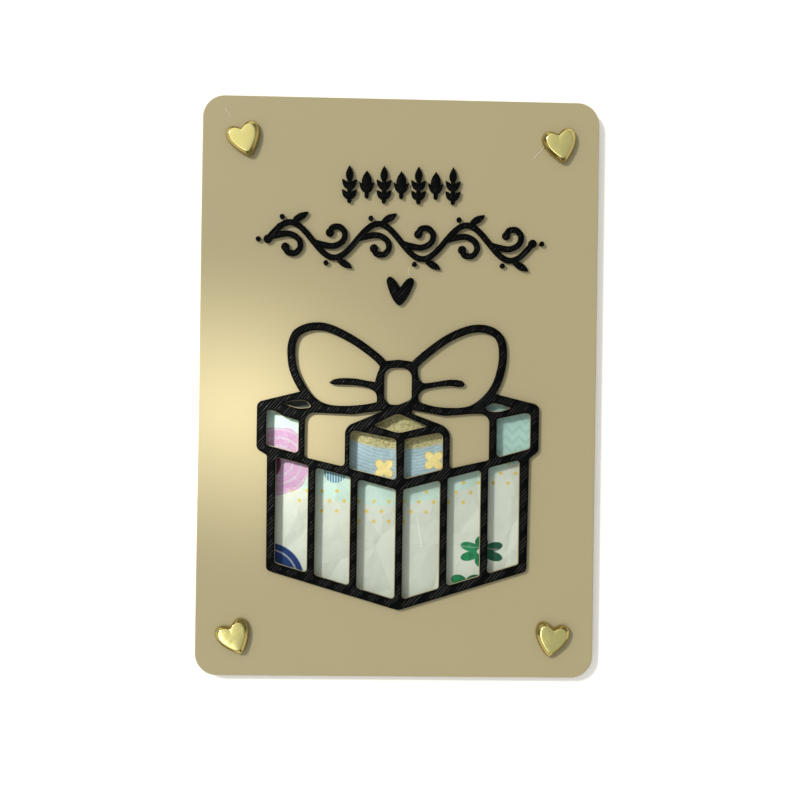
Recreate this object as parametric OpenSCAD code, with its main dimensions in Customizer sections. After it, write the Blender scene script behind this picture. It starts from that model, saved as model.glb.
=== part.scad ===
// Gift card holder: a flat plate with a raised gift box and bow, whose windows show the folded
// voucher that lies in a pocket behind them. It lies on its back cover, front face up (+Z), with
// the top edge of the plate towards +Y. Millimetres.

/* [Front plate] */
// Width of the plate
plate_w = 103; // [98:0.5:130]
// Height of the plate
plate_h = 150; // [142:0.5:190]
// Thickness of the plate
plate_t = 1.6; // [1:0.1:3]
// Radius of the plate's corners
plate_corner_r = 5.4; // [1:0.1:12]

/* [Gift fretwork] */
// Height of the black relief above the plate
relief_t = 1.4; // [0.8:0.1:2.4]
// Width of the gift across its lid
gift_w = 73.4; // [64:0.1:84]
// Height of the gift from the foot of the box to the top of the bow
gift_h = 74.4; // [66:0.1:82]
// Height of the foot of the box above the lower edge of the plate
gift_foot = 17.1; // [12:0.1:22]
// Width of the line that draws the bow
bow_line = 2.05; // [1.2:0.05:2.6]
// Width of the side walls of the box
wall_w = 2.15; // [1.4:0.05:3]
// Width of the bars between the windows of the box
bar_w = 1.85; // [1.2:0.05:2.6]
// Height of the band along the foot of the box
foot_band = 2.35; // [1.6:0.05:3.2]
// Height of the band between the windows of the box and those of the lid
lid_band = 2.4; // [1.6:0.05:3]
// Radius of the corners of the windows in the box
window_r = 0.8; // [0.3:0.1:2]
// How far the windows in the plate stand back behind the bars of the fretwork
window_reveal = 0.15; // [0.05:0.05:0.4]

/* [Ornament] */
// Distance from the top edge of the plate down to the row of sprigs and buds
row_drop = 17.4; // [14:0.1:19]
// Height of a sprig in the row
sprig_h = 9.8; // [7:0.1:11]
// Height of a bud in the row
bud_h = 7.2; // [5:0.1:9]
// Distance from one motif of the row to the next
row_pitch = 4.5; // [4.4:0.1:5.6]
// Distance from the top edge of the plate down to the middle of the vine
vine_drop = 37; // [36:0.1:39]
// Length of the vine's stem
vine_w = 69; // [63:0.5:78]
// How far the stem swings to each side
vine_swing = 4.5; // [3.8:0.1:4.9]
// Width of the vine's strokes
vine_line = 1.5; // [1:0.05:1.8]
// Radius of the loose berries round the vine
berry_r = 0.65; // [0.4:0.05:0.9]
// Distance from the top edge of the plate down to the middle of the accent heart
accent_drop = 50; // [49:0.1:51.5]
// Width of the accent heart
accent_w = 7.15; // [5:0.05:9]
// Height of the accent heart
accent_h = 7.4; // [5:0.05:8.4]

/* [Gold hearts] */
// Width of a gold heart
gold_w = 8.8; // [6:0.1:10]
// Height of a gold heart
gold_h = 8.7; // [6:0.1:10]
// Thickness of a gold heart
gold_t = 2.6; // [1.5:0.1:4]
// Thickness of the dab of glue under a gold heart
glue_t = 0.25; // [0.1:0.05:0.6]
// Radius of the dab of glue under a gold heart
glue_r = 2.4; // [1.5:0.1:2.8]

/* [Voucher and pocket] */
// Width of the voucher
voucher_w = 77; // [73:0.5:82]
// Height of the voucher, folded once
voucher_h = 73.5; // [64:0.5:90]
// Thickness of one leaf of the folded voucher
voucher_leaf = 0.2; // [0.1:0.05:0.4]
// Gap between the two leaves of the folded voucher
voucher_fold_gap = 0.15; // [0.1:0.05:0.4]
// Running gap between the voucher and each wall of the pocket behind and before it
voucher_gap = 0.22; // [0.15:0.01:0.4]
// Running gap between the voucher and each strip beside or below it
voucher_side_gap = 0.4; // [0.2:0.1:1]
// Height of the voucher's lower edge above the lower edge of the plate
voucher_foot = 11.7; // [8:0.1:14]
// Width of the spacer strips that form the pocket
strip_w = 4; // [3:0.1:7]
// Thickness of the back cover
cover_t = 1.2; // [0.8:0.1:2]
// How far the voucher stands out above the back cover
voucher_show = 3.5; // [1:0.5:8]
// Radius of the back cover's corners
cover_corner_r = 3; // [1:0.1:6]
// Width of the thumb notch in the back cover
notch_w = 20; // [14:0.5:30]
// Depth of the thumb notch in the back cover
notch_depth = 8; // [6:0.5:14]

/* [Hidden] */
row_count = 7;
gold_places = ["top_left", "top_right", "bottom_left", "bottom_right"];

// Levels from the back cover's rear face forward.
voucher_t = 2 * voucher_leaf + voucher_fold_gap;
channel_t = voucher_t + 2 * voucher_gap;
channel_z = cover_t;
plate_z = channel_z + channel_t;
face_z = plate_z + plate_t;

plate_top = plate_h / 2;
plate_foot = -plate_h / 2;
// The upright front edge of the box stands a little right of the plate's middle.
gift_x = 0.65;
gift_y = plate_foot + gift_foot;

// The pocket, centred behind the gift.
pocket_w = voucher_w + 2 * voucher_side_gap;
voucher_y = plate_foot + voucher_foot;
pocket_y = voucher_y - voucher_side_gap;
cover_w = pocket_w + 2 * strip_w;
cover_y = pocket_y - strip_w;
cover_h = voucher_y + voucher_h - voucher_show - cover_y;

// The drawing of the gift. Its points count from the foot of the box's front edge, in the drawing's
// own units, and spread with gift_w and gift_h while the lines keep their width.
drawing_units = [73.4, 74.4];
stretch = [gift_w / drawing_units.x, gift_h / drawing_units.y];
function drawn(p) = [for (q = p) [q.x * stretch.x, q.y * stretch.y, is_undef(q[2]) ? 0 : q[2]]];

// Colours of the real pieces.
beige = [0.80, 0.73, 0.57];
black = [0.05, 0.05, 0.055];
gold = [0.83, 0.68, 0.30];
glue = [0.93, 0.91, 0.84];
paper = [0.85, 0.90, 0.86];

// Outline functions. A corner is [x, y, radius], and an outline runs anticlockwise.
function unit(v) = v / norm(v);
function flat(p) = [p.x, p.y];

// The arc that rounds the corner b between its neighbours a and c. It takes up less than half of
// either edge.
edge_share = 0.49;
function corner(a, b, c, r, steps = 5) =
    let (
        u = unit(a - b),
        v = unit(c - b),
        half = acos(u * v) / 2,
        run = min(r / tan(half), norm(a - b) * edge_share, norm(c - b) * edge_share),
        round_r = run * tan(half),
        middle = b + unit(u + v) * round_r / sin(half),
        from = b + u * run - middle,
        to = b + v * run - middle,
        start = atan2(from.y, from.x),
        sweep = (atan2(to.y, to.x) - start + 3 * 180) % 360 - 180
    )
    [for (i = [0:steps]) middle + round_r * [cos(start + sweep * i / steps), sin(start + sweep * i / steps)]];

function rounded(p) =
    let (n = len(p))
    [for (i = [0:n - 1])
        each p[i][2] > 0
            ? corner(flat(p[(i + n - 1) % n]), flat(p[i]), flat(p[(i + 1) % n]), p[i][2])
            : [flat(p[i])]];

// A smooth open curve through all the points.
function curve(p, steps = 4) =
    let (last = len(p) - 1)
    concat(
        [for (i = [0:last - 1], k = [0:steps - 1])
            let (
                t = k / steps,
                a = flat(p[max(i - 1, 0)]),
                b = flat(p[i]),
                c = flat(p[i + 1]),
                d = flat(p[min(i + 2, last)]),
                bend = 2 * a - 5 * b + 4 * c - d,
                swing = 3 * b - a - 3 * c + d
            )
            b + ((c - a) * t + bend * t * t + swing * t * t * t) / 2],
        [flat(p[last])]);

// The curve moved sideways, to the right of its direction.
function beside(p, d) =
    let (last = len(p) - 1)
    [for (i = [0:last])
        let (along = unit(p[min(i + 1, last)] - p[max(i - 1, 0)]))
        p[i] + d * [along.y, -along.x]];

// An anticlockwise outline grown outwards all round.
function grown(p, d) =
    let (n = len(p))
    [for (i = [0:n - 1])
        let (
            before = unit(p[i] - p[(i + n - 1) % n]),
            after = unit(p[(i + 1) % n] - p[i]),
            out_before = [before.y, -before.x],
            out_after = [after.y, -after.x],
            out = unit(out_before + out_after)
        )
        p[i] + out * d / (out * out_before)];

function reversed(p) = [for (i = [len(p) - 1:-1:0]) p[i]];
function mirrored(p) = concat(p, [for (i = [len(p) - 2:-1:1]) [-p[i].x, p[i].y]]);

// The box with its lid. Its upper side runs inside the lower lines of the bow.
box_outline = rounded(drawn([
    [0.1, 0, 2], [33.35, 10.4, 1.3], [33.7, 39.8, 0.8], [36.15, 41.7, 1.6], [36.15, 53.8, 1.7],
    [23.3, 56.86], [21, 54.2], [18, 52.3], [9, 51.9], [3.5, 53.6], [-6, 53.6], [-12, 52.1],
    [-19, 52.4], [-23.7, 54.8], [-25, 56.75], [-37.25, 53.6, 1.7], [-37.25, 41.4, 2], [-34.5, 39.9, 0.8],
    [-34.3, 10.1, 1.3]
]));

// The box's uprights, from the outer side of its left wall over the middles of its bars to the outer
// side of its right wall.
uprights = [for (p = drawn([for (x = [-34.4, -22.82, -11.82, 0, 11.55, 22.15, 33.5]) [x, 0]])) p.x];
window_count = len(uprights) - 1;
function window_left(i) = uprights[i] + (i == 0 ? wall_w : bar_w / 2);
function window_right(i) = uprights[i + 1] - (i == window_count - 1 ? wall_w : bar_w / 2);

// The level edges of the box climb from its front edge towards each side: [left, right].
foot_climb = [0.296, 0.312];
sill_climb = [0.262, 0.268];
sill_y = drawn([[0, 33.5]])[0].y;
function climb(x, climbs) = abs(x) * (x < 0 ? climbs[0] : climbs[1]) * stretch.y / stretch.x;
function foot_line(x) = foot_band + climb(x, foot_climb);
function sill_line(x) = sill_y - lid_band + climb(x, sill_climb);
function box_window(x0, x1) = rounded([
    [x0, foot_line(x0), window_r], [x1, foot_line(x1), window_r],
    [x1, sill_line(x1), window_r], [x0, sill_line(x0), window_r]
]);
box_windows = [for (i = [0:window_count - 1]) box_window(window_left(i), window_right(i))];

// Windows of the lid and the ribbon, which go through the plate too.
lid_windows = [
    rounded(drawn([[-34.8, 42.45, 0.4], [-26.4, 40.3, 1], [-26.4, 48.9, 0.3], [-30.6, 50.15, 2],
        [-32.9, 51.5, 1.5], [-34.8, 51.6, 0.3]])),
    rounded(drawn([[-13.1, 36.6, 0.8], [-0.85, 33.65, 0.9], [-1.05, 44.45, 1.1], [-13.1, 46.75, 1.3]])),
    rounded(drawn([[-7.1, 48, 0.2], [-0.5, 45.9, 6], [7.1, 47.9, 0.2], [-0.8, 51.2, 3]])),
    rounded(drawn([[1.05, 33.95, 0.6], [11.2, 36.65, 0.8], [11.15, 46.5, 1.4], [1.15, 44.4, 0.6]])),
    rounded(drawn([[25.15, 39.8, 1], [34.05, 42.4, 0.9], [34.05, 51.6, 1], [32.3, 51.65, 2],
        [25.1, 50.05, 0.6]]))
];

// The slots left between the lid's corners and the bow.
lid_slots = [
    concat(
        curve(drawn([[-30.5, 53.15], [-28.5, 52.6], [-26.9, 52.15], [-25.3, 52.1], [-23.8, 52.3]])),
        curve(drawn([[-23.3, 52.7], [-24.5, 54], [-25.8, 54.3], [-27.3, 54.2], [-29.1, 53.85],
            [-30.4, 53.3]]))),
    concat(
        curve(drawn([[21.9, 52.8], [22.9, 52.15], [24.5, 51.85], [26.2, 52], [27.7, 52.45], [28.9, 52.85]])),
        curve(drawn([[28.8, 53], [27.1, 53.55], [25.4, 54], [24, 54.1], [22.8, 53.6], [22, 53]])))
];

// Openings that show the plate itself: the two faces of the lid beside the ribbon, and the knot.
lid_faces = [
    rounded(drawn([[-24.85, 39.4, 0.9], [-14.38, 37.05, 0.9], [-14.38, 47.5, 3], [-4, 51.95, 0.15],
        [-12.5, 50.7, 6], [-24.85, 51.1, 2.4]])),
    rounded(drawn([[12.93, 36.85, 0.8], [23.23, 39.25, 0.4], [23.23, 51.3, 3.2], [18.3, 51.25, 5],
        [11.5, 50.6, 8], [2.9, 52.05, 0.2], [2.95, 51.15, 0.2], [12.93, 47.5, 3.8]]))
];
knot_opening = rounded(drawn([
    [-4.38, 54.9, 1.6], [-3, 53.4, 1.6], [-0.6, 53.35, 2.5], [2.82, 54.75, 1.4], [2.82, 62.98, 2.6],
    [-4.38, 62.95, 2.4]
]));

// Each loop of the bow: the arc of its inner edge, then the crease that points into it.
left_arc = curve(drawn([
    [-5.55, 63.3], [-7.2, 65], [-12.15, 68.6], [-17.1, 71.25], [-20.6, 72.35], [-23.9, 72.2],
    [-26.4, 70.95], [-27.4, 68.8], [-27.55, 65.9], [-27, 62.5], [-25.35, 58.9], [-22.8, 55.4],
    [-19.3, 53.35], [-14.6, 52.9], [-9.3, 53.35], [-6.25, 54]
]));
left_crease = concat(
    curve(drawn([[-6.2, 55.2], [-6.6, 56.4], [-7.9, 57.4], [-9.6, 57.95], [-12.5, 58.3], [-15.8, 58.35],
        [-17.7, 58.45], [-18.65, 58.9]])),
    curve(drawn([[-17.7, 59.65], [-15.8, 60.05], [-12.1, 60.05], [-8.8, 59.5], [-6.8, 59.2]])),
    curve(drawn([[-6.3, 61.1], [-5.8, 62.4]])));
right_arc = reversed(curve(drawn([
    [4.35, 63.25], [5.7, 64.6], [9.05, 67.4], [12.95, 70.1], [17.35, 72.05], [20.85, 72.5],
    [23.75, 71.6], [25.2, 69.6], [25.5, 66.2], [25.05, 62.8], [23.95, 59.35], [22, 56.4],
    [19.05, 53.85], [16.35, 52.95], [12.75, 52.75], [8.35, 53.15], [4.8, 54.2]
])));
right_crease = concat(
    curve(drawn([[4.3, 61.8], [4.6, 60.4], [5.2, 59.5], [6.2, 59.1], [8.6, 59.4], [12.5, 60.05],
        [14.9, 60], [16.1, 59.65], [16.6, 58.85]])),
    curve(drawn([[16.1, 58.25], [14.9, 58.2], [12.45, 58.45], [8.05, 57.9], [5.7, 57.2], [4.75, 56.2],
        [4.55, 55.2]])));

// Each loop's outer edge is closed through the middle of the knot.
knot_middle = [for (p = drawn([[-0.8, 58]])) flat(p)];
left_outer = concat(beside(left_arc, bow_line), knot_middle);
right_outer = concat(beside(right_arc, bow_line), knot_middle);
knot_outline = rounded(drawn([
    [-6.6, 53.6], [4.9, 53.6], [4.9, 62], [2.9, 64.65, 0.6], [-0.6, 65.1, 4], [-4.2, 64.7, 0.6],
    [-6.6, 62.6]
]));

module gift_windows(reveal = 0) {
    for (outline = concat(box_windows, lid_windows, lid_slots)) polygon(grown(outline, reveal));
}

module at_gift() {
    translate([gift_x, gift_y]) children();
}

// A plate with round corners, its lower edge's middle at the origin.
module slab(width, height, r) {
    translate([-width / 2, r]) square([width, height - 2 * r]);
    translate([-width / 2 + r, 0]) square([width - 2 * r, height]);
    for (x = [r - width / 2, width / 2 - r], y = [r, height - r]) translate([x, y]) circle(r, $fn = 64);
}

// The beige plate, with a window behind every opening that shows the voucher.
module front_plate() {
    color(beige)
        translate([0, 0, plate_z])
        linear_extrude(plate_t)
        difference() {
            translate([0, plate_foot]) slab(plate_w, plate_h, plate_corner_r);
            at_gift() gift_windows(window_reveal);
        }
}

// The black fretwork: one piece that draws the box, its lid, the ribbon, the knot and the bow.
module gift_frame() {
    color(black)
        translate([0, 0, face_z])
        linear_extrude(relief_t)
        at_gift()
        difference() {
            union() {
                polygon(box_outline);
                polygon(left_outer);
                polygon(right_outer);
                polygon(knot_outline);
            }
            gift_windows();
            for (outline = lid_faces) polygon(outline);
            polygon(knot_opening);
            polygon(concat(left_arc, left_crease));
            polygon(concat(right_arc, right_crease));
        }
}

// Half outlines of the hearts for a width and a height of one, from the tip up to the notch.
gold_half = [[0, -0.5], [0.08, -0.47], [0.21, -0.34], [0.36, -0.15], [0.46, 0.04], [0.5, 0.2],
    [0.485, 0.36], [0.41, 0.46], [0.3, 0.5], [0.18, 0.48], [0.08, 0.42], [0, 0.37]];
accent_half = [[0, -0.5], [0.09, -0.45], [0.225, -0.3], [0.355, -0.07], [0.455, 0.18], [0.5, 0.34],
    [0.46, 0.46], [0.36, 0.49], [0.24, 0.43], [0.12, 0.29], [0, 0.12]];
function heart(half, width, height, steps) =
    mirrored([for (p = curve(half, steps)) [p.x * width, p.y * height]]);

// The accent heart was glued on a little askew.
accent_turn = -2;
module accent_heart() {
    color(black)
        translate([0, plate_top - accent_drop, face_z])
        rotate(accent_turn)
        linear_extrude(relief_t)
        polygon(heart(accent_half, accent_w, accent_h, 3));
}

// A leaf that starts at the origin and points along +Y, widest below its middle.
leaf_steps = 8;
leaf_foot = 0.85;
leaf_side = [for (i = [0:leaf_steps]) [sin(180 * pow(i / leaf_steps, leaf_foot)) / 2, i / leaf_steps]];
module leaf(length, width) {
    polygon([for (p = mirrored(leaf_side)) [p.x * width, p.y * length]]);
}

// A pair of leaves that spread to the full width of a motif.
motif_gap = 0.6;
motif_w = row_pitch - motif_gap;
module leaf_pair(turn, width) {
    for (side = [-1, 1]) rotate(side * turn) leaf(motif_w / 2 / sin(turn), width);
}

// The stem of a motif, with a round foot.
motif_stem_w = 1.1;
module motif_stem(height) {
    translate([-motif_stem_w / 2, motif_stem_w / 2]) square([motif_stem_w, height - motif_stem_w / 2]);
    translate([0, motif_stem_w / 2]) circle(motif_stem_w / 2, $fn = 24);
}

// A motif: pairs of leaves on a stem and a leaf on top. Each pair is [share of the motif's height,
// turn, share of its width], and the top leaf is [share of the height where it starts, share of the
// width].
module motif(height, stem, pairs, top_leaf) {
    motif_stem(height * stem);
    for (pair = pairs) translate([0, height * pair[0]]) leaf_pair(pair[1], motif_w * pair[2]);
    translate([0, height * top_leaf[0]]) leaf(height * (1 - top_leaf[0]), motif_w * top_leaf[1]);
}
module sprig(height) motif(height, 0.62, [[0.1, 38, 0.38], [0.36, 36, 0.36]], [0.55, 0.5]);
module bud(height) motif(height, 0.4, [[0.18, 34, 0.32]], [0.28, 0.68]);

// Odd places of the row hold a sprig, even ones a bud, all on one middle line.
function row_x(i) = (i - (row_count + 1) / 2) * row_pitch;
module row_motif(i) {
    height = i % 2 == 1 ? sprig_h : bud_h;
    color(black)
        translate([row_x(i), plate_top - row_drop - (sprig_h + height) / 2, face_z])
        linear_extrude(relief_t)
        if (i % 2 == 1) sprig(height);
        else bud(height);
}

// The vine: a stem in six half waves, each with a curl in its hollow and a leaf on its crest.
waves = 6;
wave = vine_w / waves;
stem_steps = 16;
knob_r = 0.72 * vine_line;
function stem_point(x) = [x, vine_swing * sin(180 * (x + vine_w / 2) / wave)];
stem_middle = [for (i = [0:waves * stem_steps]) stem_point(-vine_w / 2 + wave * i / stem_steps)];
function stroke(p, width) = concat(beside(p, width / 2), reversed(beside(p, -width / 2)));
// Points of a curl, from the stem round to its knob, in half waves from the middle of the wave.
curl_points = [[-0.475, 0.045], [-0.26, 0.1], [-0.02, 0.13], [0.18, 0.03], [0.24, -0.15], [0.13, -0.3],
    [-0.04, -0.29], [-0.1, -0.17]];
// The lower and the upper side of the leaf on a crest, in the same measure.
leaf_under = [[0.02, -0.05], [0.13, 0.01], [0.25, 0.05], [0.35, 0.12], [0.41, 0.23]];
leaf_over = [[0.4, 0.24], [0.31, 0.23], [0.2, 0.2], [0.1, 0.12], [0.02, 0]];
module half_wave() {
    polygon(stroke(curve(curl_points * wave, 5), vine_line));
    translate(curl_points[len(curl_points) - 1] * wave) circle(knob_r, $fn = 32);
    translate([0, vine_swing]) polygon(concat(curve(leaf_under * wave, 3), curve(leaf_over * wave, 3)));
}

// Where the middle of half wave i lies, and on which side its crest is.
function wave_x(i) = (i - (waves - 1) / 2) * wave;
function crest_side(i) = i % 2 == 0 ? 1 : -1;

module vine_scroll() {
    color(black)
        translate([0, plate_top - vine_drop, face_z])
        linear_extrude(relief_t)
        union() {
            polygon(stroke(stem_middle, vine_line));
            for (i = [0:waves - 1])
                translate([wave_x(i), 0]) mirror([0, i % 2, 0]) half_wave();
            for (side = [-1, 1]) translate([side * vine_w / 2, 0]) circle(knob_r, $fn = 32);
        }
}

// Loose berries, one before each crest of the vine and one past each end of it.
berry_back = 0.18;
berry_gap = 0.7;
berry_height = vine_swing + vine_line / 2 + berry_r;
module vine_berries() {
    color(black)
        translate([0, plate_top - vine_drop, face_z])
        linear_extrude(relief_t)
        union() {
            for (i = [0:waves - 1])
                translate([wave_x(i) - berry_back * wave, crest_side(i) * berry_height])
                circle(berry_r, $fn = 32);
            for (side = [-1, 1])
                translate([side * (vine_w / 2 + knob_r + berry_gap + berry_r), 0])
                circle(berry_r, $fn = 32);
        }
}

// Where each gold heart sits: its distance from the plate's nearest edges, and its turn.
gold_insets = [[10.8, 11.45, 18.5], [10.05, 11.4, 12.5], [10.1, 9.55, 24], [10.75, 9.75, -9]];
function gold_place(i) = [
    (i % 2 == 0 ? -1 : 1) * (plate_w / 2 - gold_insets[i][0]),
    (i < 2 ? 1 : -1) * (plate_h / 2 - gold_insets[i][1])
];

// The facets of a gold heart, as [share of its outline, share of its thickness].
gold_facets = [[0.97, 0], [1, 0.12], [1, 0.45], [0.93, 0.68], [0.74, 1]];
gold_outline = heart(gold_half, gold_w, gold_h, 2);
module gold_heart(i) {
    sides = len(gold_outline);
    rings = len(gold_facets);
    color(gold)
        translate(concat(gold_place(i), [face_z + glue_t]))
        rotate(gold_insets[i][2])
        polyhedron(
            [for (f = gold_facets, p = gold_outline) [p.x * f[0], p.y * f[0], f[1] * gold_t]],
            concat(
                [[for (k = [0:sides - 1]) k]],
                [for (ring = [0:rings - 2], k = [0:sides - 1])
                    let (
                        a = ring * sides + k,
                        b = ring * sides + (k + 1) % sides
                    )
                    [a, a + sides, b + sides, b]],
                [concat([(rings - 1) * sides], [for (k = [sides - 1:-1:1]) (rings - 1) * sides + k])]));
}

module heart_glue() {
    color(glue)
        for (i = [0:len(gold_places) - 1])
            translate(concat(gold_place(i), [face_z]))
            cylinder(glue_t, glue_r, glue_r, $fn = 48);
}

// The strips that hold the back cover off the plate on three sides of the voucher.
module strip(x, y, width, height) {
    color(beige) translate([gift_x + x, y, channel_z]) cube([width, height, channel_t]);
}
module spacer_left() strip(-cover_w / 2, pocket_y, strip_w, cover_y + cover_h - cover_corner_r - pocket_y);
module spacer_right() strip(pocket_w / 2, pocket_y, strip_w, cover_y + cover_h - cover_corner_r - pocket_y);
module spacer_foot() strip(-pocket_w / 2, cover_y, pocket_w, strip_w);

// The back cover, with a notch for the thumb that pushes the voucher up and out.
module back_cover() {
    color(beige)
        linear_extrude(cover_t)
        translate([gift_x, cover_y])
        difference() {
            slab(cover_w, cover_h, cover_corner_r);
            translate([0, cover_h - notch_depth + notch_w / 2]) circle(notch_w / 2, $fn = 64);
            translate([-notch_w / 2, cover_h - notch_depth + notch_w / 2]) square([notch_w, notch_depth]);
        }
}

// The voucher: one sheet folded at its upper edge, seen from the side as a hairpin.
fold_steps = 8;
function fold_arc(r) =
    [for (i = [0:fold_steps])
        let (turn = 90 - 180 * i / fold_steps)
        r * [cos(turn), sin(turn)]];
module gift_voucher() {
    half = voucher_t / 2;
    inner = voucher_fold_gap / 2;
    color(paper)
        translate([gift_x - voucher_w / 2, voucher_y + voucher_h - half, channel_z + voucher_gap + half])
        rotate([90, 0, 90])
        linear_extrude(voucher_w)
        polygon(concat(
            fold_arc(half),
            [[half - voucher_h, -half], [half - voucher_h, -inner]],
            reversed(fold_arc(inner)),
            [[half - voucher_h, inner], [half - voucher_h, half]]));
}

front_plate();
gift_frame();
accent_heart();
for (i = [1:row_count]) row_motif(i);
vine_scroll();
vine_berries();
for (i = [0:len(gold_places) - 1])
    gold_heart(i);
heart_glue();
spacer_left();
spacer_right();
spacer_foot();
back_cover();
gift_voucher();
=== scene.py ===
import math
import bpy
import bmesh
import numpy as np
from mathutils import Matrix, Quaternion, Vector, geometry


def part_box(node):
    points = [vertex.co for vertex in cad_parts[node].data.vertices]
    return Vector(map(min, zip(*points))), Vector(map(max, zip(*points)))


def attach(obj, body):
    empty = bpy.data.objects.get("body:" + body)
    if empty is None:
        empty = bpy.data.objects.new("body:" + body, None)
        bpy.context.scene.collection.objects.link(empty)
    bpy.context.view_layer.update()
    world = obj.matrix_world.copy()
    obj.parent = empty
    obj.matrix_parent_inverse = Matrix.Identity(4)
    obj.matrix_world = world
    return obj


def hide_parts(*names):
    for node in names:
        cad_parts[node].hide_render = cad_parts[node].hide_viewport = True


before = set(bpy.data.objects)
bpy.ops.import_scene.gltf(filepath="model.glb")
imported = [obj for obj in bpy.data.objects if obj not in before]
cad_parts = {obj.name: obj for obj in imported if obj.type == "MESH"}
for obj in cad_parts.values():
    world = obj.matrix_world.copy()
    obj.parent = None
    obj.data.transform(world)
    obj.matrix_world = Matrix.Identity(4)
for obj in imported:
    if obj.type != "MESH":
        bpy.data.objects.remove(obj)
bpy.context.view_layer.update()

# Camera: it looks straight down at the holder, a little left of its middle, as the photograph does.
# Sizes are in millimetres and become metres with MM.
MM = 0.001
camera = bpy.data.objects.new("camera", bpy.data.cameras.new("camera"))
camera.data.lens = 65
camera.data.sensor_width = 36
camera.data.clip_start = 0.01
camera.location = Vector((-13.89, -5.82, 380.12)) * MM
camera.rotation_euler = [math.radians(turn) for turn in (0.356, -2.193, 0.82)]
bpy.context.scene.collection.objects.link(camera)
bpy.context.scene.camera = camera
bpy.context.scene.view_settings.view_transform = "Standard"


# Floor: a pale matt table, flat for 3 m each way and then rising a little, so that it fills every low
# view too. The holder lies on its back cover.
def finish(name, **settings):
    """A new material whose main shader has these even values. Underscores stand for spaces."""
    material = bpy.data.materials.new(name)
    material.use_nodes = True
    shader = material.node_tree.nodes["Principled BSDF"]
    for socket, value in settings.items():
        shader.inputs[socket.replace("_", " ")].default_value = value
    return material


def node(tree, kind, inputs, **settings):
    """A new node. An input is a number, a colour or another node's output."""
    made = tree.nodes.new(kind)
    for name, value in settings.items():
        setattr(made, name, value)
    for name, value in inputs.items():
        if isinstance(value, bpy.types.NodeSocket):
            tree.links.new(value, made.inputs[name])
        else:
            made.inputs[name].default_value = value
    return made


weld, sliver = 0.001, 0.0005
level_face = 0.99999


def mesh_piece(name, points, faces, material, crease=None):
    """An object from points in millimetres and faces. Edges sharper than the crease stay sharp, and
    faces that lie level stay flat."""
    mesh = bpy.data.meshes.new(name)
    mesh.from_pydata([tuple(c * MM for c in p) for p in points], [], faces)
    mesh.materials.append(material)
    if crease:
        shaped = bmesh.new()
        shaped.from_mesh(mesh)
        bmesh.ops.remove_doubles(shaped, verts=shaped.verts, dist=weld * MM)
        bmesh.ops.dissolve_degenerate(shaped, edges=shaped.edges, dist=sliver * MM)
        shaped.to_mesh(mesh)
        shaped.free()
        mesh.shade_smooth()
        mesh.set_sharp_from_angle(angle=math.radians(crease))
        for face in mesh.polygons:
            face.use_smooth = abs(face.normal.z) < level_face
    piece = bpy.data.objects.new(name, mesh)
    bpy.context.scene.collection.objects.link(piece)
    return piece


floor_finish = finish("pale_table", Base_Color=(0.93, 0.93, 0.92, 1), Roughness=0.9,
                      Specular_IOR_Level=0.1, Emission_Color=(1, 1, 1, 1), Emission_Strength=0.2)
flat_reach, whole_reach, rim_rise = 3000, 6000, 500
floor_corners = [(x * reach, y * reach, rise) for reach, rise in ((flat_reach, 0), (whole_reach, rim_rise))
                 for x, y in ((-1, -1), (1, -1), (1, 1), (-1, 1))]
floor_skirt = [(i, i + 4, (i + 1) % 4 + 4, (i + 1) % 4) for i in range(4)]
floor = mesh_piece("floor", floor_corners, [(0, 1, 2, 3)] + floor_skirt, floor_finish)

# Light: one key light from the upper left, a second one from the same side that makes a soft oval pool
# on the left half, and a broad sky that is brightest above on the left and dim round the horizon.
key = bpy.data.objects.new("key", bpy.data.lights.new("key", "SUN"))
key.data.energy = 1.85
key.data.angle = math.radians(6)
key.data.color = (1.0, 0.97, 0.9)
key_way = Vector((-0.64, 0.44, 1))
key.rotation_euler = key_way.to_track_quat("Z", "Y").to_euler()
bpy.context.scene.collection.objects.link(key)

pool = bpy.data.objects.new("pool", bpy.data.lights.new("pool", "SPOT"))
pool_middle, pool_reach, pool_far = Vector((-41, -7, 3.8)), 36, 400
pool_softness, pool_turn, pool_width = 3, -40, 0.7
pool.data.energy = 12
pool.data.color = (1.0, 0.96, 0.88)
pool.data.shadow_soft_size = pool_far * MM * math.tan(math.radians(pool_softness))
pool.data.spot_size = 2 * math.atan(pool_reach / pool_far)
pool.data.spot_blend = 1.0
pool.location = (pool_middle + key_way.normalized() * pool_far) * MM
pool_roll = Quaternion((0, 0, 1), math.radians(pool_turn))
pool.rotation_euler = (key_way.to_track_quat("Z", "Y") @ pool_roll).to_euler()
pool.scale = (1, pool_width, 1)
bpy.context.scene.collection.objects.link(pool)


def mixed(tree, share, low, high, **settings):
    """A colour between two others."""
    return node(tree, "ShaderNodeMix", {"Factor": share, "A": low, "B": high}, data_type="RGBA",
                **settings).outputs["Result"]


def ramped(tree, value, start, end, low=0.0, high=1.0, **settings):
    """A value that goes from low to high while another one goes from start to end."""
    return node(tree, "ShaderNodeMapRange", {"Value": value, "From Min": start, "From Max": end,
                                             "To Min": low, "To Max": high}, **settings).outputs["Result"]


sky = bpy.data.worlds.new("sky")
bpy.context.scene.world = sky
sky.use_nodes = True
tree = sky.node_tree
way = node(tree, "ShaderNodeTexCoord", {}).outputs["Generated"]


def towards(direction):
    """How far the sky lies towards a direction, from -1 to 1."""
    made = node(tree, "ShaderNodeVectorMath", {0: way, 1: direction}, operation="DOT_PRODUCT")
    return made.outputs["Value"]


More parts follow.
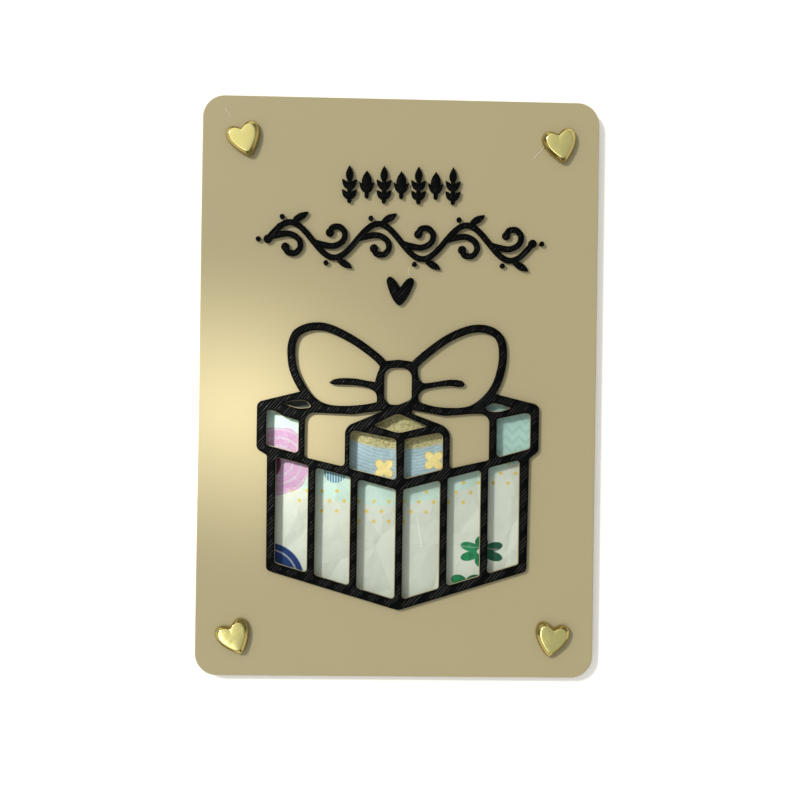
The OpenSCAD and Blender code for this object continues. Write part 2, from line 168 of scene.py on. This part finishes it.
glow_way = Vector((-0.2, -0.2, 0.96)).normalized()
glow_rim, glow_body = math.cos(math.radians(10)), math.cos(math.radians(6))
dimmer = ramped(tree, towards((1.0, -0.25, 0)), -0.22, 0.18, interpolation_type="SMOOTHSTEP")
above = mixed(tree, dimmer, (1.0, 0.97, 0.87, 1), (0.40, 0.41, 0.40, 1))
rise = ramped(tree, towards((0, 0, 1)), 0.1, 0.8, interpolation_type="SMOOTHSTEP")
tone = mixed(tree, rise, (0.2, 0.19, 0.16, 1), above)
glow = ramped(tree, towards(glow_way), glow_rim, glow_body)
sky_colour = mixed(tree, glow, tone, (3.2, 3.2, 3.1, 1))
tree.links.new(sky_colour, tree.nodes["Background"].inputs["Color"])


# Back cover: the thin beige sheet that closes the pocket from behind, with a notch for the thumb.
# It is printed in PLA in layers of 0.2 mm and glued to the three strips in front of it.
closest = 0.002
straight_on, nearly_straight = math.cos(math.radians(0.2)), math.cos(math.radians(0.5))


def outlines(name, level=None):
    """The outlines of the part of a CAD piece above a level, or else of its upper face. The material
    lies on their left."""
    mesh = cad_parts[name].data
    spots = [tuple(round(c / MM, 3) for c in v.co) for v in mesh.vertices]
    if level is None:
        level = max(spot[2] for spot in spots)
    edges = {}
    for face in mesh.polygons:
        ring = [spots[i] for i in face.vertices]
        if all(spot[2] > level - 0.01 for spot in ring):
            for a, b in zip(ring, ring[1:] + ring[:1]):
                if edges.pop((b, a), None) is None:
                    edges[a, b] = b
    after = {a: b for a, b in edges}
    loops = []
    while after:
        spot = next(iter(after))
        loop = []
        while spot in after:
            loop.append(spot[:2])
            spot = after.pop(spot)
        loops.append(np.array(loop))
    return loops


def lengths(steps):
    return np.hypot(steps[:, 0], steps[:, 1])[:, None]


def eased(loop, step, corner=35, straight=2.5):
    """The outline with its curves drawn again in short steps. Straight runs and corners stay."""
    along = np.roll(loop, -1, 0) - loop
    loop = loop[lengths(along)[:, 0] > closest]
    along = np.roll(loop, -1, 0) - loop
    along /= lengths(along)
    loop = loop[(along * np.roll(along, 1, 0)).sum(1) < straight_on]
    along = np.roll(loop, -1, 0) - loop
    size = lengths(along)[:, 0]
    along /= size[:, None]
    arriving, leaving = [], []
    for i in range(len(loop)):
        before, after = along[i - 1], along[i]
        ways = (before, after)
        if before @ after > math.cos(math.radians(corner)):
            if size[i - 1] > straight * size[i]:
                ways = (before, before)
            elif size[i] > straight * size[i - 1]:
                ways = (after, after)
            else:
                mean = before * size[i] + after * size[i - 1]
                ways = (mean / np.hypot(*mean),) * 2
        arriving.append(ways[0])
        leaving.append(ways[1])
    points = []
    for i in range(len(loop)):
        j = (i + 1) % len(loop)
        points.append(loop[i])
        if min(leaving[i] @ along[i], arriving[j] @ along[i]) < nearly_straight:
            count = math.ceil(size[i] / step)
            for k in range(1, count):
                t = k / count
                points.append((2 * t ** 3 - 3 * t ** 2 + 1) * loop[i] + (3 * t ** 2 - 2 * t ** 3) * loop[j]
                              + (t ** 3 - 2 * t ** 2 + t) * size[i] * leaving[i]
                              + (t ** 3 - t ** 2) * size[i] * arriving[j])
    return np.array(points)


least_mitre, no_limit, share_of_reach = 0.4, 100.0, 0.9


def rims(loops, spacing=0.5):
    """For each outline: its points, the way into the material, the mitre there, and the radius of the
    largest disc of material that touches each point."""
    every = []
    for loop in loops:
        for a, b in zip(loop, np.roll(loop, -1, 0)):
            count = math.ceil(np.hypot(*(b - a)) / spacing)
            every += [a + (b - a) * k / count for k in range(count)]
    every = np.array(every)
    found = []
    for loop in loops:
        ahead = np.roll(loop, -1, 0) - loop
        ahead /= lengths(ahead)
        left = np.stack([-ahead[:, 1], ahead[:, 0]], 1)
        inward = left + np.roll(left, 1, 0)
        inward /= lengths(inward)
        mitre = 1 / np.maximum((inward * left).sum(1), least_mitre)
        reach = []
        for point, towards in zip(loop, inward):
            away = every - point
            depth = away @ towards
            near = depth > closest
            reach.append(((away[near] ** 2).sum(1) / (2 * depth[near])).min() if near.any() else no_limit)
        found.append((loop, inward, mitre, np.array(reach)))
    return found


def inset(rim, depth):
    """An outline moved that far into the material, or out of it where the depth is negative."""
    loop, inward, mitre, reach = rim
    return loop + inward * (np.minimum(depth, share_of_reach * reach) * mitre)[:, None]


LAYER, seam, slippage = 0.2, 0.022, 0.008


def wall(low, high, foot, head):
    """Rings [inset, height] of a printed wall. Each layer bulges a little between its neighbours."""
    count = round((high - low) / LAYER)
    rings = []
    for i in range(count):
        start = low + (high - low) * i / count
        slip = slippage * math.sin(5.1 * i + low)
        rings += [(seam, start), (slip, start + 0.3 * LAYER), (slip, start + 0.7 * LAYER)]
    rings = [ring for ring in rings if foot[-1][1] < ring[1] < head[0][1]]
    return foot + rings + head


def stacked(rows):
    """Points and faces of a piece from rows of closed rings, each [level, outlines], closed flat below
    and above."""
    points, faces, starts = [], [], []
    for level, loops in rows:
        starts.append([])
        for loop in loops:
            starts[-1].append(len(points))
            points += [(x, y, level) for x, y in loop]
    sizes = [len(loop) for loop in rows[0][1]]
    for lower, upper in zip(starts, starts[1:]):
        for a, b, n in zip(lower, upper, sizes):
            faces += [(a + i, a + (i + 1) % n, b + (i + 1) % n, b + i) for i in range(n)]
    for row, up in ((starts[0], False), (starts[-1], True)):
        where = [start + i for start, n in zip(row, sizes) for i in range(n)]
        loops = [[Vector(points[start + i]) for i in range(n)] for start, n in zip(row, sizes)]
        for corners in geometry.tessellate_polygon(loops):
            a, b, c = (where[i] for i in corners)
            turn = ((points[b][0] - points[a][0]) * (points[c][1] - points[a][1])
                    - (points[b][1] - points[a][1]) * (points[c][0] - points[a][0]))
            if abs(turn) > 1e-9:
                faces.append((a, b, c) if (turn > 0) == up else (a, c, b))
    return points, faces


bead_swell, bead_drift, bead_end, bead_flank = 0.18, 0.03, 0.14, -0.2


def raster(loops, pitch, level, bead, turn, tuck=0.08, least=0.25):
    """Beads of plastic laid side by side across an area: bead is their width and height, which is
    negative on an underside."""
    spin = np.array([[math.cos(math.radians(turn)), math.sin(math.radians(turn))],
                     [-math.sin(math.radians(turn)), math.cos(math.radians(turn))]])
    starts = np.vstack([loop @ spin.T for loop in loops])
    ends = np.vstack([np.roll(loop @ spin.T, -1, 0) for loop in loops])
    points, faces = [], []
    row = 0
    for y in np.arange(starts[:, 1].min() + pitch / 2, starts[:, 1].max(), pitch):
        row += 1
        cut = (starts[:, 1] > y) != (ends[:, 1] > y)
        a, b = starts[cut], ends[cut]
        spots = np.sort(a[:, 0] + (y - a[:, 1]) * (b[:, 0] - a[:, 0]) / (b[:, 1] - a[:, 1]))
        height = bead[1] * (1 + bead_swell * math.sin(7.3 * row))
        drift = bead_drift * math.sin(3.7 * row)
        for left, right in zip(spots[::2], spots[1::2]):
            if right - left < least:
                continue
            base = len(points)
            soft = min(bead_end, (right - left) / 3)
            local = [(left - tuck, 0, 0)]
            for x in (left - tuck + soft, right + tuck - soft):
                local += [(x, -bead[0] / 2, bead_flank * height), (x, 0, height),
                          (x, bead[0] / 2, bead_flank * height), (x, 0, -height)]
            local.append((right + tuck, 0, 0))
            for x, across, up in local:
                flat = np.array([x, y + drift + across]) @ spin
                points.append((flat[0], flat[1], level + up))
            for k in range(4):
                m = (k + 1) % 4
                quads = [(0, 1 + m, 1 + k), (1 + k, 1 + m, 5 + m, 5 + k), (5 + k, 5 + m, 9)]
                faces += [tuple(base + i for i in (quad if bead[1] > 0 else quad[::-1])) for quad in quads]
    return points, faces


def joined(*shapes):
    points, faces = [], []
    for more_points, more_faces in shapes:
        faces += [tuple(len(points) + i for i in face) for face in more_faces]
        points += more_points
    return points, faces


def printed_piece(name, node_name, material, step, foot, head, top=None, under=None, corner=35, crease=50):
    """A CAD piece again, as it comes off the printer. foot and head are the rings [inset, depth] of its
    lower and upper edges, and top and under the beads [pitch, width, height, turn] on its faces."""
    low, high = (spot[2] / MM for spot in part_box(node_name))
    rim_list = rims([eased(loop, step, corner) for loop in outlines(node_name)])
    foot = [(depth, low + up) for depth, up in foot]
    head = [(depth, high - down) for depth, down in head]
    rows = [(level, [inset(rim, depth) for rim in rim_list]) for depth, level in wall(low, high, foot, head)]
    shapes = [stacked(rows)]
    for beads, ring, side in ((top, head[-1], 1), (under, foot[0], -1)):
        if beads:
            pitch, width, height, turn = beads
            area = [inset(rim, ring[0]) for rim in rim_list]
            shapes.append(raster(area, pitch, ring[1], (width, side * height), turn))
    piece = mesh_piece(name, *joined(*shapes), material, crease)
    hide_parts(node_name)
    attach(piece, "holder")
    return piece


def pla(name, base, shift, roughness, specular, grain):
    """Printed plastic: its colour drifts a little, and its skin has a fine grain [scale per metre, depth]."""
    material = finish(name, Base_Color=(*base, 1), Specular_IOR_Level=specular)
    tree = material.node_tree
    shader = tree.nodes["Principled BSDF"]
    place = node(tree, "ShaderNodeTexCoord", {}).outputs["Object"]
    cloud = node(tree, "ShaderNodeTexNoise", {"Vector": place, "Scale": 45.0, "Detail": 2.0})
    colour = mixed(tree, cloud.outputs["Fac"], (*base, 1), (*shift, 1))
    tree.links.new(colour, shader.inputs["Base Color"])
    speck = node(tree, "ShaderNodeTexNoise", {"Vector": place, "Scale": grain[0], "Detail": 3.0})
    tree.links.new(ramped(tree, speck.outputs["Fac"], 0.0, 1.0, *roughness), shader.inputs["Roughness"])
    bump = node(tree, "ShaderNodeBump", {"Height": speck.outputs["Fac"], "Strength": 0.35,
                                         "Distance": grain[1]})
    tree.links.new(bump.outputs["Normal"], shader.inputs["Normal"])
    return material


beige_pla = pla("beige_pla", (0.50, 0.43, 0.245), (0.47, 0.42, 0.235), (0.42, 0.52), 0.35, (2600.0, 0.00003))
soft_edge = [(0.16, 0), (0.06, 0.03), (0, 0.12)]
bead_edge = [(0.42, 0.05), (0.32, 0.015), (0.2, 0), (0.08, 0.015), (0.02, 0.06), (0, 0.14)]
rear_beads = (0.46, 0.4, 0.045)
back_cover = printed_piece("back_cover_print", "back_cover", beige_pla, 0.5, bead_edge, soft_edge[::-1],
                           under=(*rear_beads, 45))

# Spacer strips: three beige strips round the pocket, left, right and below the voucher. They are
# printed with the back cover's plastic and glued between it and the front plate.
for side in ("left", "right", "foot"):
    strip = printed_piece("spacer_" + side + "_print", "spacer_" + side, beige_pla, 0.5, soft_edge,
                          soft_edge[::-1])

# Front plate: the beige sheet that everything sits on, with a window behind each opening of the box.
# It was printed face down, so its front is smooth and satin and its back shows the last layer. The
# first layer was pressed into the bed and spread a little, so a fine lip runs round every edge.
plate_pla = pla("satin_beige_pla", (0.402, 0.348, 0.202), (0.384, 0.338, 0.196), (0.36, 0.44), 0.4,
                (4200.0, 0.00001))
plate_edge = [(0, 0.42), (-0.1, 0.34), (-0.24, 0.24), (-0.28, 0.14), (-0.26, 0.06), (-0.18, 0.015),
              (-0.06, 0)]
plate = printed_piece("front_plate_print", "front_plate", plate_pla, 0.5, bead_edge, plate_edge,
                      under=(*rear_beads, -45))

# Gift fretwork: one black print that draws the box, its lid, the ribbon and the bow. Its top shows
# the outer line of the last layer and the slanting lines that fill it; it is glued to the plate.
black_pla = pla("black_pla", (0.0006, 0.0011, 0.0011), (0.0012, 0.0018, 0.0018), (0.24, 0.42), 0.037,
                (3000.0, 0.00004))
relief_foot = [(0.05, 0), (0.0, 0.06)]
relief_head = [(0, 0.13), (0.015, 0.06), (0.05, 0.018), (0.1, 0), (0.15, 0.01), (0.2, 0.05)]
relief_beads = (0.65, 0.58, 0.094, 49)


def relief(node_name, step=0.35, corner=35):
    piece = printed_piece(node_name + "_print", node_name, black_pla, step, relief_foot, relief_head,
                          top=relief_beads, corner=corner, crease=33)
    return piece


relief("gift_frame", corner=30)

# Accent heart, the row of sprigs and buds, the vine and its berries: small prints in the same black
# plastic, each glued on by itself.
row_motifs = ["row_motif_%d" % i for i in range(1, 8)]
for node_name in ["accent_heart"] + row_motifs + ["vine_scroll", "vine_berries"]:
    relief(node_name, 0.2)

# Hot glue: a clear dab under each gold heart, squeezed out to an uneven rim, and the fine threads
# that the nozzle drew across the plate.
clear_glue = finish("hot_glue", Base_Color=(0.88, 0.86, 0.76, 1), Roughness=0.22, Transmission_Weight=0.3,
                    IOR=1.48)
dab_shape = [(0.25, 0), (0.02, 0.03), (-0.08, 0.1), (-0.02, 0.2), (0.12, 0.25)]
plate_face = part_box("front_plate")[1][2] / MM
dabs = []
for i, loop in enumerate(outlines("heart_glue")):
    middle = loop.mean(0)
    swing = np.arctan2(loop[:, 1] - middle[1], loop[:, 0] - middle[0])
    uneven = 1 + 0.09 * np.sin(3 * swing + i) + 0.05 * np.sin(5 * swing + 2 * i)
    dabs.append(middle + (loop - middle) * uneven[:, None])
dab_rims = rims(dabs)
dab_rows = [(plate_face + up, [inset(rim, depth) for rim in dab_rims]) for depth, up in dab_shape]
dab = mesh_piece("glue_dabs", *stacked(dab_rows), clear_glue, crease=50)
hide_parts("heart_glue")
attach(dab, "holder")


def thread(path, radius, steps=6, sides=6):
    """Points and faces of a fine round thread through the points of a path, with pointed ends."""
    path = [Vector(p) for p in path]
    path = [path[0] * 2 - path[1]] + path + [path[-1] * 2 - path[-2]]
    line = []
    for a, b, c, d in zip(path, path[1:], path[2:], path[3:]):
        for k in range(steps):
            t = k / steps
            line.append(b + ((c - a) * t + (2 * a - 5 * b + 4 * c - d) * t * t
                             + (3 * b - a - 3 * c + d) * t ** 3) / 2)
    line.append(path[-2])
    points, faces = [], []
    for i, spot in enumerate(line):
        along = (line[min(i + 1, len(line) - 1)] - line[max(i - 1, 0)]).normalized()
        side = along.cross(Vector((0, 0, 1))).normalized()
        thick = radius * (1 if 0 < i < len(line) - 1 else 0.3)
        for k in range(sides):
            turn = 2 * math.pi * k / sides
            points.append(spot + (side * math.cos(turn) + side.cross(along) * math.sin(turn)) * thick)
    for i in range(len(line) - 1):
        this, following = sides * i, sides * (i + 1)
        faces += [(this + k, this + (k + 1) % sides, following + (k + 1) % sides, following + k)
                  for k in range(sides)]
    faces += [tuple(range(sides - 1, -1, -1)), tuple(range(len(points) - sides, len(points)))]
    return points, faces


thread_r = 0.075
rest = plate_face + thread_r
threads = joined(
    thread([(37.6, 64.2, rest + 0.2), (36.7, 62.6, rest + 0.05), (35.6, 61.5, rest), (34.6, 60.4, rest)],
           thread_r),
    thread([(2.5, 31.6, rest), (2.3, 30.6, rest), (2.45, 29.6, rest), (2.4, 29.0, rest)], thread_r),
    thread([(-46.1, 72.0, rest), (-45.6, 71.1, rest), (-45.0, 70.6, rest), (-44.5, 69.9, rest)], thread_r))
glue_threads = mesh_piece("glue_threads", *threads, clear_glue, crease=60)
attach(glue_threads, "holder")

# Gold hearts: four moulded beads, plated in gold, with upright sides, a slanting shoulder and a flat face.
# Sides and shoulder get painted shade, a darker gold; each was pressed into its glue by hand, a little
# tilted.
gold_plating = finish("gold_plating", Metallic=1.0)
tree = gold_plating.node_tree
shader = tree.nodes["Principled BSDF"]
place = node(tree, "ShaderNodeTexCoord", {})
facing = node(tree, "ShaderNodeSeparateXYZ", {0: place.outputs["Normal"]})
# painted shade: the more a surface tilts away from level, the darker its gold, standing in for the dark room
# it reflects
painted_shade_by_tilt = ramped(tree, facing.outputs["Z"], 0.72, 0.95)
gold = mixed(tree, painted_shade_by_tilt, (0.42, 0.33, 0.11, 1), (0.92, 0.83, 0.34, 1))
tree.links.new(gold, shader.inputs["Base Color"])
smears = node(tree, "ShaderNodeTexNoise", {"Vector": place.outputs["Object"], "Scale": 420.0, "Detail": 3.0,
                                           "Distortion": 0.6})
gloss = ramped(tree, smears.outputs["Fac"], 0.3, 0.7, 0.1, 0.2)
tree.links.new(gloss, shader.inputs["Roughness"])
dents = node(tree, "ShaderNodeTexNoise", {"Vector": place.outputs["Object"], "Scale": 500.0, "Detail": 1.0})
bump = node(tree, "ShaderNodeBump", {"Height": dents.outputs["Fac"], "Strength": 0.25, "Distance": 0.00004})
tree.links.new(bump.outputs["Normal"], shader.inputs["Normal"])
heart_rings = [(0.90, 0), (0.95, 0.012), (0.985, 0.045), (1, 0.1), (1, 0.4), (0.993, 0.51), (0.975, 0.61),
               (0.945, 0.69), (0.92, 0.73), (0.8, 0.935), (0.782, 0.962), (0.765, 0.978), (0.74, 0.986),
               (0.7, 0.99), (0.5, 0.997), (0.3, 1), (0.1, 1.001)]
heart_tilts = {"top_left": (1.2, -1.6), "top_right": (-0.8, 0.9), "bottom_left": (0.6, -1.8),
               "bottom_right": (-1.0, 1.0)}
widest_share = 0.45
for spot, tilt in heart_tilts.items():
    low, high = (corner[2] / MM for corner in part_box("gold_heart_" + spot))
    widest = eased(outlines("gold_heart_" + spot, low + widest_share * (high - low))[0], 0.14, corner=50)
    middle = (widest.min(0) + widest.max(0)) / 2
    rows = [(low + share * (high - low), [middle + (widest - middle) * size]) for size, share in heart_rings]
    points, faces = stacked(rows)
    lean = [math.tan(math.radians(t)) for t in tilt]
    points = [(x, y, z + (x - middle[0]) * lean[1] - (y - middle[1]) * lean[0]) for x, y, z in points]
    heart = mesh_piece("gold_heart_" + spot + "_bead", points, faces, gold_plating, crease=45)
    for face in heart.data.polygons:
        face.use_smooth = True
    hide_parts("gold_heart_" + spot)
    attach(heart, "holder")

# Voucher: one sheet of printed paper, folded once along its upper edge and slid into the pocket from
# above. It has been carried about, so it is creased and no longer lies quite flat.
voucher_low, voucher_high = ([c / MM for c in corner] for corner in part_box("gift_voucher"))
leaf_thick = 0.2
half = (voucher_high[2] - voucher_low[2]) / 2
inner = half - leaf_thick
fold_y = voucher_high[1] - half
creases = [
    ((-11, -39.6), (34, -42.2), 0.055, 0.9), ((-36, -41.5), (-14, -43), 0.03, 0.8),
    ((5.2, -33.5), (6.9, -41.6), 0.05, 0.7), ((-4.5, -47.5), (-1.6, -45.2), 0.05, 0.7),
    ((-2.9, -44.6), (-3.3, -48.4), 0.035, 0.6), ((-9, -30), (-6, -52), 0.02, 1.2),
    ((12, -52), (19, -34), 0.025, 1.1), ((-24, -33), (-18, -50), 0.03, 1.0),
    ((24, -30), (27, -52), 0.03, 1.2), ((-30, -24), (-28, -54), 0.025, 1.0),
    ((-36, -10), (36, -12), 0.03, 1.5)]
most_sunk, most_raised, even_sink = -0.09, 0.1, 0.03


def crumple(x, y):
    """How far the paper stands off its flat place, in mm."""
    lift = 0.028 * math.sin(x / 9 + 1) * math.sin(y / 13) + 0.018 * math.sin(x / 4.1 + y / 6.3)
    for (ax, ay), (bx, by), height, width in creases:
        ux, uy = bx - ax, by - ay
        along = max(0, min(1, ((x - ax) * ux + (y - ay) * uy) / (ux * ux + uy * uy)))
        off = math.hypot(x - ax - along * ux, y - ay - along * uy)
        lift += height * math.exp(-off / width)
    return max(most_sunk, min(most_raised, lift - even_sink))


def fold(radius, steps=10):
    turns = [math.radians(90 - 180 * k / steps) for k in range(steps + 1)]
    return [(fold_y + radius * math.cos(turn), radius * math.sin(turn)) for turn in turns]


rows = 100
run = [voucher_low[1] + (fold_y - voucher_low[1]) * k / rows for k in range(rows)]
section = ([(y, half) for y in run] + fold(half) + [(y, -half) for y in reversed(run)]
           + [(y, -inner) for y in run] + fold(inner)[::-1] + [(y, inner) for y in reversed(run)])
columns = 104
level = (voucher_low[2] + voucher_high[2]) / 2
points = []
for k in range(columns + 1):
    x = voucher_low[0] + (voucher_high[0] - voucher_low[0]) * k / columns
    points += [(x, y, level + z + crumple(x, y)) for y, z in section]
size = len(section)
faces = [(a * size + i, a * size + (i + 1) % size, (a + 1) * size + (i + 1) % size, (a + 1) * size + i)
         for a in range(columns) for i in range(size)]
for end, flip in ((0, False), (columns, True)):
    base = end * size
    for corners in geometry.tessellate_polygon([[Vector((y, z, 0)) for y, z in section]]):
        faces.append(tuple(base + i for i in (corners[::-1] if flip else corners)))


class Amount:
    """A number that varies over the paper. Arithmetic on it adds maths nodes to the material."""

    def __init__(self, tree, socket):
        self.tree, self.socket = tree, socket

    def using(self, operation, *others):
        made = self.tree.nodes.new("ShaderNodeMath")
        made.operation = operation
        for place, value in zip(made.inputs, (self,) + others):
            if isinstance(value, Amount):
                self.tree.links.new(value.socket, place)
            else:
                place.default_value = value
        return Amount(self.tree, made.outputs[0])

    def __add__(self, other):
        return self.using("ADD", other)

    def __sub__(self, other):
        return self.using("SUBTRACT", other)

    def __mul__(self, other):
        return self.using("MULTIPLY", other)

    def sine(self):
        return self.using("SINE")

    def size(self):
        return self.using("ABSOLUTE")

    def over(self, limit, soft=0.15):
        """1 where it is over the limit, 0 below it, with a soft edge."""
        return Amount(self.tree, ramped(self.tree, (self - limit).socket, -soft, soft))


paper = finish("printed_paper", Roughness=0.72, Specular_IOR_Level=0.3)
tree = paper.node_tree
place = node(tree, "ShaderNodeTexCoord", {}).outputs["Object"]
parts = node(tree, "ShaderNodeSeparateXYZ", {0: place})
x = Amount(tree, parts.outputs["X"]) * (1 / MM)
y = Amount(tree, parts.outputs["Y"]) * (1 / MM)


def noise(scale, detail):
    made = node(tree, "ShaderNodeTexNoise", {"Vector": place, "Scale": scale, "Detail": detail})
    return Amount(tree, made.outputs["Fac"])


patches, fibres, grains = noise(60.0, 2.0), noise(900.0, 4.0), noise(2400.0, 2.0)


def around(cx, cy, wide=1.0):
    """The distance from a point of the sheet, and the angle round it, for a motif that many times as
    wide as high."""
    across, up = (x - cx) * (1 / wide), y - cy
    return (across * across + up * up).using("SQRT"), up.using("ARCTAN2", across)


def within(far, radius, soft=0.12):
    return (far * -1).over(-radius, soft)


def ripples(amount, pitch):
    """Fine lines a pitch apart, from -1 to 1."""
    return (amount * (2 * math.pi / pitch)).sine()


def inked(under, mask, ink):
    return mixed(tree, mask.socket, under, (*ink, 1), clamp_factor=True)


colour = mixed(tree, patches.socket, (0.52, 0.575, 0.52, 1), (0.585, 0.64, 0.58, 1))
wave = (x * 0.5).sine() * 0.6
net = ripples(y + wave, 1.0).over(0.6, 0.3) + ripples(y - wave, 1.0).over(0.6, 0.3)
colour = inked(colour, net * 0.04, (0.45, 0.60, 0.55))

# a mint field with a scalloped lower edge, and rows of gold lozenges along it
field_middle, field_foot, field_bend = 4, 31.3, 0.0095
row_pitch, column_pitch = 2.6, 3.9
hollow = x + field_middle
edge = y + field_foot - hollow * hollow * field_bend - (x * 1.3).sine().size() * 0.5
colour = inked(colour, edge.over(0, 0.15) * (fibres * 0.5 + 0.6), (0.44, 0.63, 0.58))
row = (y * (1 / row_pitch)).using("FLOOR")
slide = (row * 0.5).using("FRACT")
across = x * (1 / column_pitch) + slide
cell_x = ((across.using("FLOOR") + 0.5) - slide) * column_pitch
cell_y = (row + 0.5) * row_pitch
hollow = cell_x + field_middle
rank = cell_y + field_foot - hollow * hollow * field_bend
lozenge = within((x - cell_x).size() + (y - cell_y).size(), 0.62, 0.1)
colour = inked(colour, lozenge * (rank.over(-4.6, 0.01) - rank.over(3.2, 0.01)), (0.60, 0.48, 0.12))

# a wide medallion: a slate-blue ground with waved hatching, two pale gold buds and a gold brocade core
medal_x, medal_y, medal_reach, core_reach = 0.65, -3.2, 21.0, 12.9
far, turn = around(medal_x, medal_y, 1.3)
ground = within(far + (turn * 18).sine() * 0.3, medal_reach)
colour = inked(colour, ground * (fibres * 0.8 + 0.55), (0.31, 0.44, 0.50))
hatching = ripples(far + fibres * 1.2, 0.85).over(0.1, 0.4)
colour = inked(colour, ground * hatching * 0.45, (0.17, 0.27, 0.34))
for cx, cy in ((-3.4, -21.3), (9.6, -19.0)):
    far_bud, turn_bud = around(cx, cy)
    bud = far_bud - (turn_bud * 2).sine().size() * 1.5
    colour = inked(colour, within(bud, 1.5, 0.06) * 0.8, (0.42, 0.30, 0.06))
    colour = inked(colour, within(bud, 1.3) * (grains * 0.5 + 0.6), (0.76, 0.66, 0.28))
core = within(around(medal_x, medal_y, 1.75)[0], core_reach, 0.35)
colour = inked(colour, core, (0.46, 0.44, 0.24))
colour = inked(colour, core * grains.over(0.52, 0.08) * 0.7, (0.19, 0.165, 0.045))

# a pink fan and a dark disc on the left, pale teal with a zigzag on the right, and a striped blue disc
far, turn = around(-31.0, -19.6)
fan = within(far + (turn * 9).sine() * 0.2, 8.8)
ribs = ripples(far, 2.2).over(-0.8, 0.2)
colour = inked(colour, fan * (ribs * 0.45 + 0.5) * (grains * 0.6 + 0.7), (0.45, 0.28, 0.46))
colour = inked(colour, fan * grains.over(0.52, 0.08) * 0.35, (0.40, 0.15, 0.30))
colour = inked(colour, within(around(-34.6, -20.4)[0], 4.3) * 0.95, (0.07, 0.012, 0.03))
side = x.over(24, 0.3) * y.over(-19.5, 0.3)
colour = inked(colour, side * (fibres * 0.5 + 0.7), (0.36, 0.56, 0.53))
zigzag = ripples(y + (x * 0.9).using("PINGPONG", 1.6) * 1.1, 2.6).over(0.35, 0.25)
colour = inked(colour, side * zigzag * 0.28, (0.16, 0.36, 0.30))
striped_disc = within(around(-16.1, -22.2)[0], 3.0) * ripples(x, 0.7).over(-0.6, 0.2)
colour = inked(colour, striped_disc, (0.10, 0.22, 0.33))

# a green rosette and a green leaf below it, with painted shade darkening each towards its right side, and a
# blue fan in the left corner
for cx, cy, wide, petals, radius in ((22.5, -42.7, 1.5, 3, 2.2), (18.6, -51.6, 1.4, 2, 1.6)):
    far, turn = around(cx, cy, wide)
    flower = within(far - (turn * petals).sine().size() * 1.9, radius) * far.over(0.8, 0.12)
    colour = inked(colour, flower, (0.016, 0.24, 0.095))
    # painted shade: each flower turns darker green towards its right side
    colour = inked(colour, flower * ((x - cx) * 0.14 + 0.4).using("MINIMUM", 0.85), (0.006, 0.05, 0.035))
    colour = inked(colour, flower * fibres.over(0.5, 0.12) * 0.45, (0.005, 0.06, 0.03))
far = around(-33.6, -50.6)[0]
bands = ripples(far, 2.9).over(-0.9, 0.1)
colour = inked(colour, within(far, 9.7) * (bands * 0.5 + 0.5), (0.004, 0.03, 0.14))

# a near-black patch of painted shade by the fold on the left, and a thin border line
# painted shade: a near-black patch where the left slot of the lid looks onto the paper
colour = inked(colour, y.over(-6.1, 0.2) * (x * -1).over(20.5, 0.4) * 0.93, (0.02, 0.025, 0.02))
line_half, line_ink = 0.18, (0.20, 0.34, 0.36)
colour = inked(colour, within(((x - medal_x).size() - 36.6).size(), line_half), line_ink)
colour = inked(colour, within((y + 61.4).size(), line_half), line_ink)

# the sharp creases, with painted shade along one side and a painted highlight along the other
wander = noise(180.0, 2.0) * 1.6 - 0.8
crease = y + 40.6 + x * 0.055 + wander
crease_span = x.over(-12, 4.0) * within(x, 36, 2.0)
# painted shade: a darker line along the side of the crease that faces away from the light
colour = inked(colour, crease_span * within((crease - 0.1).size(), 0.07, 0.1) * 0.3, (0.30, 0.33, 0.29))
# painted highlight: a pale line along the side of the crease that faces the light
colour = inked(colour, crease_span * within((crease + 0.12).size(), 0.07, 0.1) * 0.25, (0.92, 0.93, 0.88))
scratch = x - 6 + y * 0.2 + 7.4 + wander * 0.5
scratched = within(scratch.size(), 0.09, 0.1) * within((y + 37.5).size(), 3.8, 0.8)
colour = inked(colour, scratched * 0.6, (0.93, 0.94, 0.90))
folds = node(tree, "ShaderNodeTexVoronoi", {"Vector": place, "Scale": 70.0, "Randomness": 1.0},
             feature="DISTANCE_TO_EDGE")
bent = Amount(tree, folds.outputs["Distance"]).using("MINIMUM", 0.3)
height = fibres * 0.03 + noise(110.0, 3.0) + bent * 2.2 + crease_span * within(crease.size(), 0.0, 0.4) * 0.14
tree.links.new(colour, tree.nodes["Principled BSDF"].inputs["Base Color"])
bump = node(tree, "ShaderNodeBump", {"Height": height.socket, "Strength": 1.0, "Distance": 0.001})
tree.links.new(bump.outputs["Normal"], tree.nodes["Principled BSDF"].inputs["Normal"])
voucher = mesh_piece("folded_voucher", points, faces, paper, crease=60)
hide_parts("gift_voucher")
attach(voucher, "voucher")
